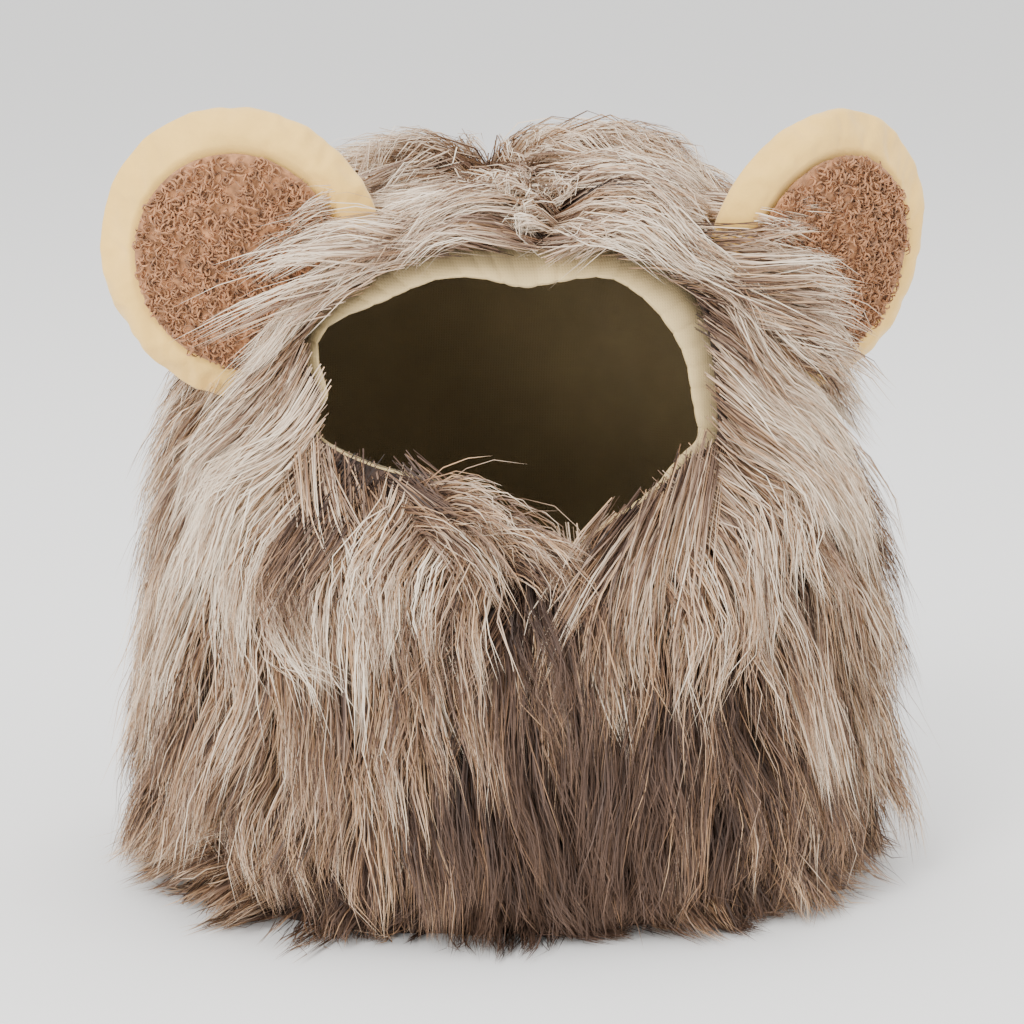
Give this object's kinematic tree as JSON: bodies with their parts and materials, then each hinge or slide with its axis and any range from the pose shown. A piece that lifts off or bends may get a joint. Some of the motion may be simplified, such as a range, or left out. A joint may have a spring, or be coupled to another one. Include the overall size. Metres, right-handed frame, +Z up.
{
  "type": "pet lion mane wig",
  "caption": "Hollow hood of long fur that a small pet wears round its head, with a face opening and two stuffed round ears.",
  "frame": {"origin": "centre of the box round the wig, on the surface that its hem stands on", "axes": "+X to the right of someone who faces the wig, -Y the way its face opening looks, +Z up to the crown"},
  "size_m": [0.2092, 0.187, 0.1983],
  "materials": {
    "faux_fur": "long pile of acrylic fibre, matt with a soft lustre along the strands",
    "lining_cloth": "plain brushed polyester, matt",
    "ear_cloth": "short velour over stuffing, matt",
    "boucle": "curly boucle pile, matt",
    "fastening_tape": "woven hook and loop tape, matt"
  },
  "bodies": {
    "root": {"fur_front_left": "faux_fur", "fur_front_right": "faux_fur", "fur_back_left": "faux_fur", "fur_back_right": "faux_fur", "lining": "lining_cloth", "face_band": "lining_cloth", "throat_tab": "fastening_tape", "ear_left": "ear_cloth", "ear_right": "ear_cloth", "ear_patch_left": "boucle", "ear_patch_right": "boucle"}
  },
  "joints": []
}
